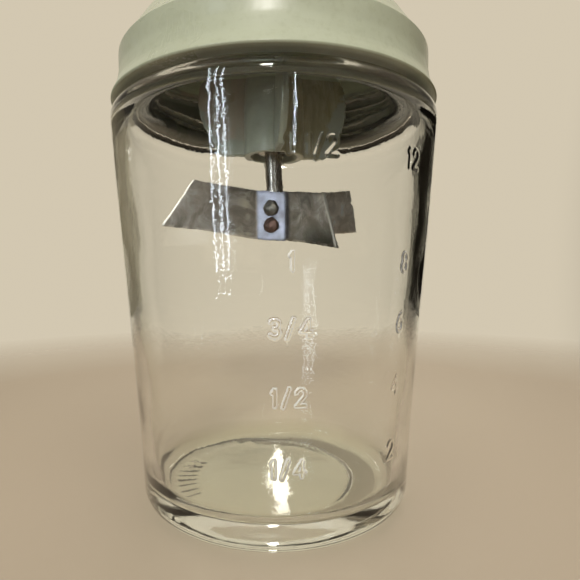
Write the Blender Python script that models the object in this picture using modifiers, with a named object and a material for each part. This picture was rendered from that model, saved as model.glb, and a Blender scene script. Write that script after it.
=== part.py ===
"""Hand food chopper: a graduated glass jar, a two-piece screw lid and a sprung plunger with two riveted blades.

Metres, +Z up. The origin is under the middle of the jar, on the surface it stands on. Every turned piece and
every joint shares the Z axis. Azimuths are measured from the front (-Y) towards +X.
"""

import math

import bmesh
import bpy
from mathutils import Matrix

MM = 0.001
GAP = 0.3 * MM

# Jar
JAR_SIDES = 48
HEEL_RADIUS = 36.2 * MM
HEEL_HEIGHT = 7.2 * MM
SHOULDER_RADIUS = 43.4 * MM
SHOULDER_HEIGHT = 100.6 * MM
NECK_BASE = 105.0 * MM
NECK_RADIUS = 36.0 * MM
JAR_HEIGHT = 118.6 * MM
MOUTH_RADIUS = 33.4 * MM
WALL = 2.8 * MM
FLOOR_HEIGHT = 6.6 * MM
PUNT_RADIUS = 24.0 * MM
PUNT_RISE = 1.2 * MM

# Thread between the jar and the lid's band
THREAD_PITCH = 4.6 * MM
THREAD_TURNS = 1.3
JAR_BEAD = 1.5 * MM
BAND_BEAD = 1.5 * MM
THREAD_MIDDLE = 111.6 * MM
BEAD_POINTS_PER_TURN = 24

# Lid band
BAND_BOTTOM = 105.2 * MM
BAND_INNER = 38.5 * MM
BAND_OUTER = 41.1 * MM
BAND_LIP_UNDER = 122.2 * MM
BAND_TOP = 124.0 * MM
BAND_LIP_INNER = 35.0 * MM
BAND_RIM_RADIUS = 43.2 * MM

# Lid dome with its spring well and ribs
SEAL_THICKNESS = 1.2 * MM
FLANGE_BOTTOM = JAR_HEIGHT + SEAL_THICKNESS + 2 * GAP
FLANGE_RADIUS = 36.0 * MM
DOME_WALL = 34.4 * MM
DOME_THICKNESS = 2.2 * MM
COLLAR_RADIUS = 10.8 * MM
COLLAR_TOP = 147.2 * MM
WELL_RADIUS = 6.9 * MM
BOSS_RADIUS = 8.4 * MM
BOSS_BOTTOM = 93.8 * MM
BOSS_RECESS_RADIUS = 6.6 * MM
WELL_FLOOR = 99.6 * MM
WELL_FLOOR_UNDER = 97.2 * MM
RIB_REACH = 21.0 * MM
RIB_THICKNESS = 1.8 * MM
RIB_AZIMUTH = math.radians(8.0)

# Shaft, knob and spring
SHAFT_RADIUS = 2.4 * MM
SHAFT_BOTTOM = 71.6 * MM
SHAFT_TOP = 221.0 * MM
BUSH_BORE = 2.45 * MM
BUSH_RADIUS = 3.5 * MM
CLIP_BOTTOM = 94.9 * MM
CLIP_THICKNESS = 0.7 * MM
GROOVE_RADIUS = 1.9 * MM
KNOB_BOTTOM = 206.4 * MM
KNOB_RADIUS = 19.0 * MM
KNOB_TOP = 228.6 * MM
KNOB_BASE_RADIUS = 15.6 * MM
PIN_HEIGHT = 214.5 * MM
PIN_RADIUS = 1.0 * MM
WIRE_RADIUS = 0.7 * MM
SPRING_RADIUS = 5.6 * MM
SPRING_TURNS = 15
DEAD_TURNS = 1.5

# Blades
BLADE_YAW = math.radians(18.0)
BLADE_THICKNESS = 0.8 * MM
BLADE_BOTTOM = 70.9 * MM
BLADE_HEIGHT = 13.1 * MM
FRONT_BEND = math.radians(39.0)
REAR_BEND = math.radians(50.0)
REAR_LIFT = 0.8 * MM
WING_BOTTOM_LENGTH = 25.5 * MM
HUB_HALF = 4.1 * MM
FLAT_HALF = 2.05 * MM
RIVET_HEIGHTS = (74.9 * MM, 79.4 * MM)
RIVET_RADIUS = 1.2 * MM
RIVET_HOLE = 1.5 * MM
RIVET_HEAD = 2.1 * MM

SOLID = bpy.data.collections.new("food_chopper")
CUTTERS = bpy.data.collections.new("cutters")


def clear_scene():
    """Empties the scene and adds the collections for the parts and for the cutters."""
    for old in list(bpy.data.objects):
        bpy.data.objects.remove(old, do_unlink=True)
    for collection in (SOLID, CUTTERS):
        bpy.context.scene.collection.children.link(collection)


def material(name, colour, roughness, metallic=0.0, transmission=0.0):
    """A Principled material with one colour."""
    made = bpy.data.materials.new(name)
    made.use_nodes = True
    shader = made.node_tree.nodes["Principled BSDF"]
    shader.inputs["Base Color"].default_value = (*colour, 1.0)
    shader.inputs["Roughness"].default_value = roughness
    shader.inputs["Metallic"].default_value = metallic
    shader.inputs["Transmission Weight"].default_value = transmission
    made.diffuse_color = (*colour, 1.0)
    return made


def empty(name, height, parent=None):
    """An empty on the Z axis that carries the pieces of one moving body."""
    made = bpy.data.objects.new(name, None)
    made.empty_display_size = 10 * MM
    SOLID.objects.link(made)
    made.location = (0, 0, height)
    if parent:
        attach(made, parent)
    return made


def attach(piece, parent):
    """Parents a piece and keeps it where it is."""
    bpy.context.view_layer.update()
    piece.parent = parent
    piece.matrix_parent_inverse = parent.matrix_world.inverted()


def place(name, mesh, finish, parent, height=0.0):
    """Puts a mesh in the parts' collection as one named piece, smooth apart from its sharp edges."""
    piece = bpy.data.objects.new(name, mesh)
    SOLID.objects.link(piece)
    piece.location = (0, 0, height)
    mesh.materials.append(finish)
    mesh.shade_smooth()
    mesh.set_sharp_from_angle(angle=math.radians(35))
    if parent:
        attach(piece, parent)
    return piece


def turned_mesh(name, profile, sides, closed):
    """Evaluates a Screw modifier on a profile of (radius, height) points, listed down its outer side."""
    mesh = bpy.data.meshes.new(name)
    edges = [(i, i + 1) for i in range(len(profile) - 1)]
    if closed:
        edges.append((len(profile) - 1, 0))
    mesh.from_pydata([(radius, 0, height) for radius, height in profile], edges, [])
    guide = bpy.data.objects.new(name + "_profile", mesh)
    CUTTERS.objects.link(guide)
    screw = guide.modifiers.new("turn", "SCREW")
    screw.steps = sides
    screw.render_steps = sides
    screw.use_merge_vertices = True
    screw.merge_threshold = 0.00001
    return solid_mesh(guide)


def solid_mesh(source):
    """The evaluated mesh of an object, welded, with its place applied, and the object removed."""
    bpy.context.view_layer.update()
    graph = bpy.context.evaluated_depsgraph_get()
    mesh = bpy.data.meshes.new_from_object(source.evaluated_get(graph))
    mesh.transform(source.matrix_world)
    shape = bmesh.new()
    shape.from_mesh(mesh)
    bmesh.ops.remove_doubles(shape, verts=shape.verts, dist=0.000001)
    bmesh.ops.recalc_face_normals(shape, faces=shape.faces)
    shape.to_mesh(mesh)
    shape.free()
    mesh.name = source.name
    bpy.data.objects.remove(source, do_unlink=True)
    return mesh


def turned(name, profile, finish, parent, sides=32, closed=True, height=0.0):
    """A turned piece, from a profile whose heights are measured from its own base."""
    return place(name, turned_mesh(name, profile, sides, closed), finish, parent, height)


def ring_profile(inner, outer, thickness, edge=0.12 * MM):
    """A washer's section, with broken edges on its outside."""
    return [
        (outer - edge, thickness),
        (outer, thickness - edge),
        (outer, edge),
        (outer - edge, 0),
        (inner, 0),
        (inner, thickness),
    ]


def arc(centre_radius, centre_height, size, start, end, steps):
    """Points of a circular arc in a profile, from one angle in degrees to another."""
    points = []
    for i in range(steps + 1):
        angle = math.radians(start + (end - start) * i / steps)
        points.append((centre_radius + size * math.cos(angle), centre_height + size * math.sin(angle)))
    return points


def helper(name, mesh):
    """A hidden object that cuts a piece or is joined to it."""
    made = bpy.data.objects.new(name, mesh)
    CUTTERS.objects.link(made)
    made.hide_render = True
    made.display_type = "WIRE"
    return made


def combine(piece, other, operation):
    """Adds a Boolean that joins the other object to the piece or cuts it away."""
    boolean = piece.modifiers.new(other.name, "BOOLEAN")
    boolean.operation = operation
    boolean.solver = "EXACT"
    boolean.object = other


def rod_mesh(name, radius, length, sides=20):
    """A plain cylinder along Z, centred on the origin."""
    mesh = bpy.data.meshes.new(name)
    shape = bmesh.new()
    bmesh.ops.create_cone(
        shape, cap_ends=True, segments=sides, radius1=radius, radius2=radius, depth=length
    )
    shape.to_mesh(mesh)
    shape.free()
    return mesh


def box_mesh(name, size):
    """A box centred on the origin."""
    mesh = bpy.data.meshes.new(name)
    shape = bmesh.new()
    bmesh.ops.create_cube(shape, size=1.0)
    bmesh.ops.scale(shape, vec=size, verts=shape.verts)
    shape.to_mesh(mesh)
    shape.free()
    return mesh


def wire_mesh(name, points, radius, swell=None):
    """A round wire through the points, with closed ends; swell scales its radius at each point."""
    curve = bpy.data.curves.new(name, "CURVE")
    curve.dimensions = "3D"
    curve.bevel_depth = radius
    curve.bevel_resolution = 2
    curve.use_fill_caps = True
    spline = curve.splines.new("POLY")
    spline.points.add(len(points) - 1)
    for i, point in enumerate(points):
        spline.points[i].co = (*point, 1)
        spline.points[i].radius = swell[i] if swell else 1.0
    guide = bpy.data.objects.new(name, curve)
    CUTTERS.objects.link(guide)
    return solid_mesh(guide)


def sheet_mesh(name, outline, thickness):
    """A flat plate from a closed outline in X and Y, centred on Z = 0."""
    curve = bpy.data.curves.new(name, "CURVE")
    curve.dimensions = "2D"
    curve.fill_mode = "BOTH"
    curve.extrude = thickness / 2
    spline = curve.splines.new("POLY")
    spline.points.add(len(outline) - 1)
    for i, (x, y) in enumerate(outline):
        spline.points[i].co = (x, y, 0, 1)
    spline.use_cyclic_u = True
    guide = bpy.data.objects.new(name, curve)
    CUTTERS.objects.link(guide)
    return solid_mesh(guide)


def thread_points(radius, middle, start):
    """Points of a right-hand helical bead and the fade of its two ends."""
    count = round(THREAD_TURNS * BEAD_POINTS_PER_TURN)
    points = []
    swell = []
    for i in range(count + 1):
        part = i / count
        angle = start + part * THREAD_TURNS * math.tau
        height = middle + (part - 0.5) * THREAD_TURNS * THREAD_PITCH
        points.append((radius * math.cos(angle), radius * math.sin(angle), height))
        swell.append(min(1.0, 0.45 + 6.0 * min(part, 1 - part)))
    return points, swell


def jar_profile():
    """The jar's section, from the outer edge of its rim down the outside and back up the inside."""
    rim = JAR_HEIGHT
    lip = 1.2 * MM
    fillet = 4.6 * MM
    shoulder_round = 4.0 * MM
    centre = SHOULDER_RADIUS - shoulder_round
    points = arc(NECK_RADIUS - lip, rim - lip, lip, 90, 0, 3)
    points.append((NECK_RADIUS, NECK_BASE + 1.4 * MM))
    points.append((NECK_RADIUS + 0.6 * MM, NECK_BASE + 0.2 * MM))
    points += arc(centre, SHOULDER_HEIGHT, shoulder_round, 90, 0, 5)
    points.append((41.75 * MM, 77.7 * MM))
    points.append((39.8 * MM, 57.4 * MM))
    points.append((38.4 * MM, 36.4 * MM))
    points.append((36.9 * MM, 16.0 * MM))
    points += arc(HEEL_RADIUS - 6.6 * MM, HEEL_HEIGHT - 0.6 * MM, 6.6 * MM, 0, -90, 6)
    points.append((PUNT_RADIUS + 1.6 * MM, 0.0))
    points.append((PUNT_RADIUS, PUNT_RISE))
    points.append((0.0, PUNT_RISE + 0.8 * MM))
    points.append((0.0, FLOOR_HEIGHT - 0.4 * MM))
    points.append((PUNT_RADIUS, FLOOR_HEIGHT))
    floor_edge = HEEL_RADIUS - WALL - fillet
    points += arc(floor_edge, FLOOR_HEIGHT + fillet, fillet, -90, 0, 4)
    points.append((36.9 * MM - WALL, 18.0 * MM))
    points.append((38.4 * MM - WALL, 36.4 * MM))
    points.append((39.8 * MM - WALL, 57.4 * MM))
    points.append((41.75 * MM - WALL, 77.7 * MM))
    inner_round = 5.4 * MM
    points += arc(
        SHOULDER_RADIUS - WALL - inner_round, SHOULDER_HEIGHT - 2.4 * MM, inner_round, 0, 80, 4
    )
    points.append((MOUTH_RADIUS, NECK_BASE + 0.6 * MM))
    points.append((MOUTH_RADIUS, rim - lip))
    points.append((MOUTH_RADIUS + 0.6 * MM, rim))
    return points


def make_jar(finish):
    """The tapered glass jar with its neck and rounded thread."""
    jar = turned("glass_jar", jar_profile(), finish, None, sides=JAR_SIDES, closed=True)
    points, swell = thread_points(NECK_RADIUS, THREAD_MIDDLE, 0.0)
    bead = helper("jar_thread", wire_mesh("jar_thread", points, JAR_BEAD, swell))
    combine(jar, bead, "UNION")


def make_seal(finish, parent):
    """The flat sealing ring between the jar's rim and the dome's flange."""
    profile = ring_profile(32.6 * MM, 36.8 * MM, SEAL_THICKNESS)
    turned("lid_seal", profile, finish, parent, sides=40, height=JAR_HEIGHT + GAP)


def band_profile():
    """The band's section: sloped shoulder, straight skirt, flared lower edge, and an inward lip over the flange."""
    shoulder = [(36.8, 122.9), (37.7, 121.6), (39.2, 119.4), (40.9, 117.3)]
    cavity = [(38.5, 117.4), (37.3, 120.2), (36.7, 121.4), (36.3, 122.2)]
    flare = [(0.0, 7.2), (0.2, 5.2), (0.6, 3.6), (1.2, 2.2), (1.8, 1.1)]
    points = [(BAND_LIP_INNER, BAND_TOP), (BAND_LIP_INNER + 1.0 * MM, BAND_TOP)]
    points += [(radius * MM, height * MM) for radius, height in shoulder]
    points.append((BAND_OUTER, 116.9 * MM))
    points += [(BAND_OUTER + out * MM, BAND_BOTTOM + up * MM) for out, up in flare]
    points.append((BAND_RIM_RADIUS, BAND_BOTTOM + 0.4 * MM))
    points.append((BAND_RIM_RADIUS - 0.4 * MM, BAND_BOTTOM))
    points.append((BAND_INNER + 0.5 * MM, BAND_BOTTOM))
    points.append((BAND_INNER, BAND_BOTTOM + 0.6 * MM))
    points += [(radius * MM, height * MM) for radius, height in cavity]
    points.append((BAND_LIP_INNER, BAND_LIP_UNDER))
    return points


def make_band(finish, parent):
    """The screw band with its inner thread, half a pitch below the jar's."""
    band = turned("lid_band", band_profile(), finish, parent, sides=JAR_SIDES)
    points, swell = thread_points(BAND_INNER + 0.1 * MM, THREAD_MIDDLE - THREAD_PITCH / 2, 0.0)
    bead = helper("band_thread", wire_mesh("band_thread", points, BAND_BEAD, swell))
    combine(band, bead, "UNION")


def dome_outer():
    """The dome's outer surface, from the collar down to the flange."""
    return [
        (COLLAR_RADIUS, 143.2 * MM),
        (COLLAR_RADIUS + 0.8 * MM, 141.9 * MM),
        (14.0 * MM, 141.0 * MM),
        (20.0 * MM, 139.4 * MM),
        (26.0 * MM, 136.6 * MM),
        (30.4 * MM, 133.4 * MM),
        (31.6 * MM, 130.4 * MM),
        (32.6 * MM, 127.9 * MM),
        (33.5 * MM, 126.2 * MM),
        (DOME_WALL, 124.2 * MM),
    ]


def dome_profile():
    """The dome's section: collar, dome, flange, and inside it the spring well with its floor and recess."""
    mouth = 0.9 * MM
    points = [(WELL_RADIUS + mouth, COLLAR_TOP)]
    points += arc(COLLAR_RADIUS - 1.2 * MM, COLLAR_TOP - 1.2 * MM, 1.2 * MM, 90, 0, 3)
    points += dome_outer()
    points.append((DOME_WALL, BAND_LIP_UNDER - GAP))
    points.append((FLANGE_RADIUS, BAND_LIP_UNDER - GAP))
    points.append((FLANGE_RADIUS, FLANGE_BOTTOM))
    points.append((32.0 * MM, FLANGE_BOTTOM))
    for radius, height in reversed(dome_outer()[3:-1]):
        points.append((radius - DOME_THICKNESS, height - DOME_THICKNESS))
    points.append((12.0 * MM, 138.9 * MM))
    points.append((BOSS_RADIUS + 0.8 * MM, 138.4 * MM))
    points.append((BOSS_RADIUS, 136.6 * MM))
    points.append((BOSS_RADIUS, BOSS_BOTTOM))
    points.append((BOSS_RECESS_RADIUS, BOSS_BOTTOM))
    points.append((BOSS_RECESS_RADIUS, WELL_FLOOR_UNDER))
    points.append((BUSH_RADIUS + GAP, WELL_FLOOR_UNDER))
    points.append((BUSH_RADIUS + GAP, WELL_FLOOR))
    points.append((WELL_RADIUS, WELL_FLOOR))
    points.append((WELL_RADIUS, COLLAR_TOP - mouth))
    return points


def rib_outline():
    """One stiffening rib, from the boss out to its tapered edge and up into the dome's wall."""
    foot = 14.6 * MM
    edge = [(foot, BOSS_BOTTOM), (17.3 * MM, 98.0 * MM), (19.4 * MM, 101.4 * MM)]
    edge += [(20.6 * MM, 104.4 * MM), (RIB_REACH, 107.5 * MM), (RIB_REACH, 137.4 * MM)]
    return [(BOSS_RADIUS - 0.8 * MM, BOSS_BOTTOM)] + edge + [(BOSS_RADIUS - 0.8 * MM, 139.6 * MM)]


def make_dome(finish, parent):
    """The dome, one moulding with its collar, spring well and four ribs."""
    dome = turned("lid_dome", dome_profile(), finish, parent, sides=JAR_SIDES)
    for index in range(4):
        rib = helper(f"rib_{index + 1}", sheet_mesh(f"rib_{index + 1}", rib_outline(), RIB_THICKNESS))
        turn = RIB_AZIMUTH - math.pi / 2 + index * math.pi / 2
        rib.matrix_world = Matrix.Rotation(turn, 4, "Z") @ Matrix.Rotation(math.pi / 2, 4, "X")
        combine(dome, rib, "UNION")


def make_bush(finish, parent):
    """The flanged bush in the well's floor, in which the shaft slides and turns."""
    flange = 1.0 * MM
    sleeve = WELL_FLOOR - WELL_FLOOR_UNDER
    top = sleeve + GAP + flange
    profile = [
        (5.6 * MM, top),
        (5.6 * MM, sleeve + GAP),
        (BUSH_RADIUS, sleeve + GAP),
        (BUSH_RADIUS, 0.0),
        (BUSH_BORE, 0.0),
        (BUSH_BORE, top),
    ]
    turned("guide_bush", profile, finish, parent, sides=32, height=WELL_FLOOR_UNDER)
    return WELL_FLOOR_UNDER + top


def spring_points(bottom, top):
    """A compression spring's centre line, with closed turns at both ends."""
    per_turn = 11
    count = SPRING_TURNS * per_turn
    low = bottom + WIRE_RADIUS
    high = top - WIRE_RADIUS
    dead = DEAD_TURNS * (2 * WIRE_RADIUS + 0.1 * MM)
    points = []
    for i in range(count + 1):
        turn = i / per_turn
        if turn < DEAD_TURNS:
            height = low + dead * turn / DEAD_TURNS
        elif turn > SPRING_TURNS - DEAD_TURNS:
            height = high - dead * (SPRING_TURNS - turn) / DEAD_TURNS
        else:
            part = (turn - DEAD_TURNS) / (SPRING_TURNS - 2 * DEAD_TURNS)
            height = low + dead + (high - low - 2 * dead) * part
        angle = math.tau * turn
        points.append((SPRING_RADIUS * math.cos(angle), SPRING_RADIUS * math.sin(angle), height))
    return points


def make_spring(finish, parent, bottom, top):
    """The return spring, standing in the well and reaching up to the knob."""
    place("return_spring", wire_mesh("return_spring", spring_points(bottom, top), WIRE_RADIUS), finish, parent)


def hub_frame(front):
    """The hub's own axes: X along the strip, Y out of its face, Z up, for the front or the rear strip."""
    turn = -BLADE_YAW if front else math.pi - BLADE_YAW
    return Matrix.Rotation(turn, 4, "Z")


def cross_rod(name, radius, length, height):
    """A hidden rod through the shaft, square to the hub's faces."""
    rod = helper(name, rod_mesh(name, radius, length))
    rod.matrix_world = (
        Matrix.Translation((0, 0, height)) @ hub_frame(True) @ Matrix.Rotation(math.pi / 2, 4, "X")
    )
    return rod


def make_shaft(finish, parent):
    """The shaft: grooved for its clip, flattened where the blades sit, drilled for the rivets and the pin."""
    chamfer = 0.3 * MM
    length = SHAFT_TOP - SHAFT_BOTTOM
    groove = CLIP_BOTTOM - GAP - SHAFT_BOTTOM
    groove_top = groove + CLIP_THICKNESS + 2 * GAP
    profile = [
        (0, length),
        (SHAFT_RADIUS - chamfer, length),
        (SHAFT_RADIUS, length - chamfer),
        (SHAFT_RADIUS, groove_top),
        (GROOVE_RADIUS, groove_top),
        (GROOVE_RADIUS, groove),
        (SHAFT_RADIUS, groove),
        (SHAFT_RADIUS, chamfer),
        (SHAFT_RADIUS - chamfer, 0),
        (0, 0),
    ]
    shaft = turned("shaft", profile, finish, parent, sides=24, closed=False, height=SHAFT_BOTTOM)
    flat = 15.0 * MM
    for side in (1, -1):
        cutter = helper(f"shaft_flat_{side}", box_mesh(f"shaft_flat_{side}", (8 * MM, 2 * MM, flat)))
        offset = Matrix.Translation((0, side * (FLAT_HALF + 1 * MM), BLADE_BOTTOM - 1 * MM + flat / 2))
        cutter.matrix_world = hub_frame(True) @ offset
        combine(shaft, cutter, "DIFFERENCE")
    for index, height in enumerate(RIVET_HEIGHTS):
        combine(shaft, cross_rod(f"rivet_bore_{index}", RIVET_HOLE, 12 * MM, height), "DIFFERENCE")
    combine(shaft, cross_rod("pin_bore", PIN_RADIUS + GAP, 12 * MM, PIN_HEIGHT), "DIFFERENCE")


def strip_stations(left, right):
    """Where the strip's bottom and top edges run in plan: two flat wings, two rounded bends and the flat hub.

    Each wing is (bend in radians, length at the bottom edge, length at the top edge, rise at its tip). The
    result is a list of (x, y, share of the wing's rise, top or bottom), in the hub's own axes.
    """
    radius = 1.6 * MM
    stations = []
    for sign, wing in ((-1, left), (1, right)):
        bend, bottom_length, top_length, rise = wing
        side = []
        for step in range(4):
            angle = bend * step / 3
            x = HUB_HALF + radius * math.sin(angle)
            y = -radius * (1 - math.cos(angle))
            side.append((sign * x, y, 0.0, sign * x, y, 0.0))
        x, y = side[-1][0], side[-1][1]
        run = []
        for length in (bottom_length, top_length):
            run.append((x + sign * length * math.cos(bend), y - length * math.sin(bend)))
        share = top_length / bottom_length
        side.append((*run[0], rise, *run[1], rise * share))
        stations.append(side)
    return list(reversed(stations[0])) + stations[1]


def strip_mesh(name, left, right, bottom, slant):
    """A bent blade strip as an open surface; slant is how much it climbs along the hub."""
    mesh = bpy.data.meshes.new(name)
    shape = bmesh.new()
    rows = []
    for x0, y0, rise0, x1, y1, rise1 in strip_stations(left, right):
        climb = slant * max(-HUB_HALF, min(HUB_HALF, x0))
        low = shape.verts.new((x0, y0, bottom + rise0 + climb))
        high = shape.verts.new((x1, y1, bottom + BLADE_HEIGHT + rise1 + climb))
        rows.append((low, high))
    for (low, high), (next_low, next_high) in zip(rows, rows[1:]):
        shape.faces.new((low, next_low, next_high, high))
    shape.to_mesh(mesh)
    shape.free()
    return mesh


def make_blade(name, front, wings, bottom, slant, finish, parent):
    """A bent strip, thickened and drilled, lying against one flat of the shaft."""
    mesh = strip_mesh(name, *wings, bottom, slant)
    middle = FLAT_HALF + GAP + BLADE_THICKNESS / 2
    mesh.transform(hub_frame(front) @ Matrix.Translation((0, -middle, 0)))
    blade = place(name, mesh, finish, parent)
    solidify = blade.modifiers.new("thickness", "SOLIDIFY")
    solidify.thickness = BLADE_THICKNESS
    solidify.offset = 0.0
    for index, height in enumerate(RIVET_HEIGHTS):
        combine(blade, cross_rod(f"{name}_hole_{index}", RIVET_HOLE, 14 * MM, height), "DIFFERENCE")


def make_rivet(name, height, finish, parent):
    """A rivet with a domed head on each side of the blades, lying square to the hub."""
    grip = FLAT_HALF + BLADE_THICKNESS + 2 * GAP
    rise = 0.9 * MM
    dome = [(0, grip + rise), (RIVET_HEAD * 0.55, grip + rise * 0.84), (RIVET_HEAD * 0.9, grip + rise * 0.4)]
    upper = dome + [(RIVET_HEAD, grip), (RIVET_RADIUS, grip)]
    profile = upper + [(radius, -along) for radius, along in reversed(upper)]
    mesh = turned_mesh(name, profile, 20, False)
    mesh.transform(
        Matrix.Translation((0, 0, height)) @ hub_frame(True) @ Matrix.Rotation(math.pi / 2, 4, "X")
    )
    place(name, mesh, finish, parent)


def clip_outline():
    """A retaining clip: a ring open over a quarter turn, with a bore that grips the groove."""
    bore = GROOVE_RADIUS + 0.1 * MM
    outer = 4.3 * MM
    steps = 18
    half_open = math.radians(42)
    angles = [half_open + (math.tau - 2 * half_open) * i / steps for i in range(steps + 1)]
    outside = [(outer * math.cos(a), outer * math.sin(a)) for a in angles]
    inside = [(bore * math.cos(a), bore * math.sin(a)) for a in reversed(angles)]
    return outside + inside


def make_stops(finish, parent):
    """The washer and the clip in the boss's recess, which stop the plunger at the top of its stroke."""
    mesh = sheet_mesh("stop_clip", clip_outline(), CLIP_THICKNESS)
    place("stop_clip", mesh, finish, parent, CLIP_BOTTOM + CLIP_THICKNESS / 2)
    profile = ring_profile(SHAFT_RADIUS + GAP, 5.9 * MM, 0.8 * MM)
    turned("stop_washer", profile, finish, parent, sides=28, height=CLIP_BOTTOM + CLIP_THICKNESS + GAP)


def make_knob(shell_finish, steel, parent):
    """The hollow knob, its pressed-in base with the shaft's socket, and the cross pin."""
    base_thickness = 2.4 * MM
    sleeve = 4.8 * MM
    socket = SHAFT_RADIUS + GAP
    height = KNOB_TOP - KNOB_BOTTOM
    rim = KNOB_BASE_RADIUS + GAP
    outside = [(0, 0), (0.316, -0.4), (0.579, -1.9), (0.789, -4.8), (0.942, -8.6), (1.0, -12.4)]
    outside += [(0.979, -15.4), (0.942, -18.0), (0.942, -20.6), (0.911, -21.6)]
    profile = [(KNOB_RADIUS * share, height + drop * MM) for share, drop in outside]
    profile += [(KNOB_RADIUS * 0.879, 0), (rim, 0), (rim, base_thickness + GAP)]
    inside = [(0.811, -15.4), (0.863, -12.4), (0.811, -9.4), (0.674, -6.4), (0.495, -4.3), (0.263, -3.0)]
    inside.append((0, -2.7))
    profile += [(KNOB_RADIUS * share, height + drop * MM) for share, drop in inside]
    turned("knob_shell", profile, shell_finish, parent, sides=40, closed=False, height=KNOB_BOTTOM)
    top = PIN_HEIGHT - KNOB_BOTTOM + 4.0 * MM
    base = [
        (sleeve, top),
        (sleeve, base_thickness),
        (KNOB_BASE_RADIUS, base_thickness),
        (KNOB_BASE_RADIUS, 0.0),
        (socket, 0.0),
        (socket, top),
    ]
    knob_base = turned("knob_base", base, shell_finish, parent, sides=36, height=KNOB_BOTTOM)
    combine(knob_base, cross_rod("base_pin_bore", PIN_RADIUS + GAP, 12 * MM, PIN_HEIGHT), "DIFFERENCE")
    pin = rod_mesh("knob_pin", PIN_RADIUS, 2 * sleeve, 16)
    pin.transform(
        Matrix.Translation((0, 0, PIN_HEIGHT)) @ hub_frame(True) @ Matrix.Rotation(math.pi / 2, 4, "X")
    )
    place("knob_pin", pin, steel, parent)


def build():
    """Makes every piece, each parented to the empty of the body it moves with."""
    clear_scene()
    glass = material("clear_glass", (0.86, 0.9, 0.86), 0.05, transmission=0.9)
    green = material("sage_green_plastic", (0.60, 0.64, 0.40), 0.3)
    rubber = material("seal_rubber", (0.75, 0.73, 0.66), 0.7)
    nylon = material("nylon", (0.82, 0.8, 0.72), 0.5)
    steel = material("polished_steel", (0.62, 0.6, 0.57), 0.3, metallic=1.0)
    wire = material("spring_steel", (0.66, 0.65, 0.63), 0.25, metallic=1.0)
    worn = material("worn_blade_steel", (0.42, 0.39, 0.35), 0.45, metallic=1.0)

    seal_axis = empty("seal_axis", JAR_HEIGHT)
    lid_axis = empty("lid_axis", BAND_BOTTOM, seal_axis)
    press_axis = empty("press_axis", KNOB_BOTTOM, lid_axis)
    plunger_axis = empty("plunger_axis", KNOB_BOTTOM, press_axis)

    make_jar(glass)
    make_seal(rubber, seal_axis)
    make_dome(green, lid_axis)
    bush_top = make_bush(nylon, lid_axis)
    seat_thickness = 0.8 * MM
    seat_bottom = bush_top + GAP
    seat = ring_profile(SHAFT_RADIUS + 2 * GAP, 6.5 * MM, seat_thickness)
    turned("spring_seat", seat, wire, lid_axis, sides=28, height=seat_bottom)
    cap_thickness = 0.9 * MM
    cap_bottom = KNOB_BOTTOM - GAP - cap_thickness
    make_spring(wire, lid_axis, seat_bottom + seat_thickness + GAP, cap_bottom - GAP)
    make_band(green, lid_axis)
    cap = ring_profile(SHAFT_RADIUS + 2 * GAP, 7.6 * MM, cap_thickness)
    turned("spring_cap", cap, wire, press_axis, sides=32, height=cap_bottom)
    make_shaft(steel, plunger_axis)
    make_stops(steel, plunger_axis)
    make_knob(green, steel, plunger_axis)
    front_left = (FRONT_BEND, WING_BOTTOM_LENGTH, 17.5 * MM, 3.0 * MM)
    front_right = (FRONT_BEND, 20.7 * MM, 15.9 * MM, -3.1 * MM)
    make_blade("front_blade", True, (front_left, front_right), BLADE_BOTTOM, -0.09, worn, plunger_axis)
    rear_long = (REAR_BEND, WING_BOTTOM_LENGTH, 23.0 * MM, 3.0 * MM)
    rear_short = (REAR_BEND, 24.4 * MM, 20.8 * MM, 2.5 * MM)
    make_blade("rear_blade", False, (rear_short, rear_long), BLADE_BOTTOM + REAR_LIFT, 0.0, worn, plunger_axis)
    make_rivet("lower_rivet", RIVET_HEIGHTS[0], steel, plunger_axis)
    make_rivet("upper_rivet", RIVET_HEIGHTS[1], steel, plunger_axis)


build()
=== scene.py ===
import math

import bmesh
import bpy
import numpy as np
from mathutils import Matrix, Vector


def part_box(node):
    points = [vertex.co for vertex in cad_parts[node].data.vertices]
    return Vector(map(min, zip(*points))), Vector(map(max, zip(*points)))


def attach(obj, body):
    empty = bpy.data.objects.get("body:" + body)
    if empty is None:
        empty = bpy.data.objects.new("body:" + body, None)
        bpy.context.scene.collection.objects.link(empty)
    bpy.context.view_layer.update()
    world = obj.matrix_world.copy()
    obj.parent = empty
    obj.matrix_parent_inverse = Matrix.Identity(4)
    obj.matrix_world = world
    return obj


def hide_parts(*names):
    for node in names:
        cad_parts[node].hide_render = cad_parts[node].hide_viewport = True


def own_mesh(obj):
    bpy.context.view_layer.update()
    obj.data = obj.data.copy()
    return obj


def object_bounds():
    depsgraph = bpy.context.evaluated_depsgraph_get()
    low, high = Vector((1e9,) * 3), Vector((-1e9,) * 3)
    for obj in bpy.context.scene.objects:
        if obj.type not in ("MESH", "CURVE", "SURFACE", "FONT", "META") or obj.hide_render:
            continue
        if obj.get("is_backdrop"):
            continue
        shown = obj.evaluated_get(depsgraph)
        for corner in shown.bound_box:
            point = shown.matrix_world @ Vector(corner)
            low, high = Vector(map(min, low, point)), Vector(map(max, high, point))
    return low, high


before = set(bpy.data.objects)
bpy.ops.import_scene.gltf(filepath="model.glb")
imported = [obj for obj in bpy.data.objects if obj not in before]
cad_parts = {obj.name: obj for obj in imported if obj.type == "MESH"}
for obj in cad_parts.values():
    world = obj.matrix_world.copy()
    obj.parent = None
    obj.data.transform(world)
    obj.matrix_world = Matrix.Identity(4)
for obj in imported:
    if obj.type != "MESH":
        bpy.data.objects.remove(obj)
CAD_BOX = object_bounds()
MM = 0.001


def heights(node):
    """A node's lowest and highest point, in millimetres."""
    low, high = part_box(node)
    return low[2] / MM, high[2] / MM


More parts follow.
